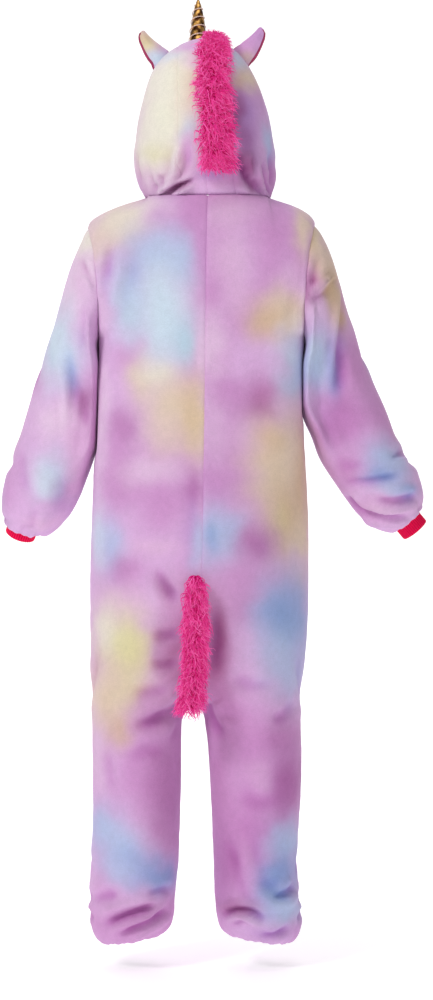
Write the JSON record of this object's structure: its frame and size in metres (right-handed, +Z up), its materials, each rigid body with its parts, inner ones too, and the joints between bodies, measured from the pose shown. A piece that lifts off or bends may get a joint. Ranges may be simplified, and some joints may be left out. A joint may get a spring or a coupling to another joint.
{
  "type": "unicorn onesie",
  "caption": "Hooded fleece unicorn onesie in soft tie-dye, held open as it is worn, with ears, a gold horn, a shaggy mane and tail, and rib cuffs.",
  "frame": {"origin": "where the wearer's shoulders carry the garment, at the middle of the neck seam", "axes": "+Z up along the body, front facing -Y, the wearer's left at +X"},
  "size_m": [0.7689, 0.3371, 1.7198],
  "materials": {
    "fleece": "soft short nap, tie-dyed lilac, orchid, blue, cream and tan",
    "rib_knit": "ribbed knit, red pink",
    "ear_lining": "short nap, plain pink",
    "gold_cloth": "metallic gold coated cloth",
    "cord": "pale gold twisted thread",
    "fur": "long shaggy pile, hot pink",
    "buttons": "pearly lilac"
  },
  "bodies": {
    "root": {"back_left": "fleece", "back_right": "fleece", "front_left": "fleece", "front_right": "fleece", "sleeve_left": "fleece", "sleeve_right": "fleece", "cuff_left": "rib_knit", "cuff_right": "rib_knit", "hood_side_left": "fleece", "hood_side_right": "fleece", "hood_crown_left": "fleece", "hood_crown_right": "fleece", "ear_left_back": "fleece", "ear_right_back": "fleece", "ear_left_lining": "ear_lining", "ear_right_lining": "ear_lining", "horn": "gold_cloth", "horn_cord": "cord", "mane": "fur", "tail": "fur", "placket": "fleece", "button_1": "buttons", "button_2": "buttons", "button_3": "buttons", "button_4": "buttons", "button_5": "buttons", "button_6": "buttons"}
  },
  "joints": []
}
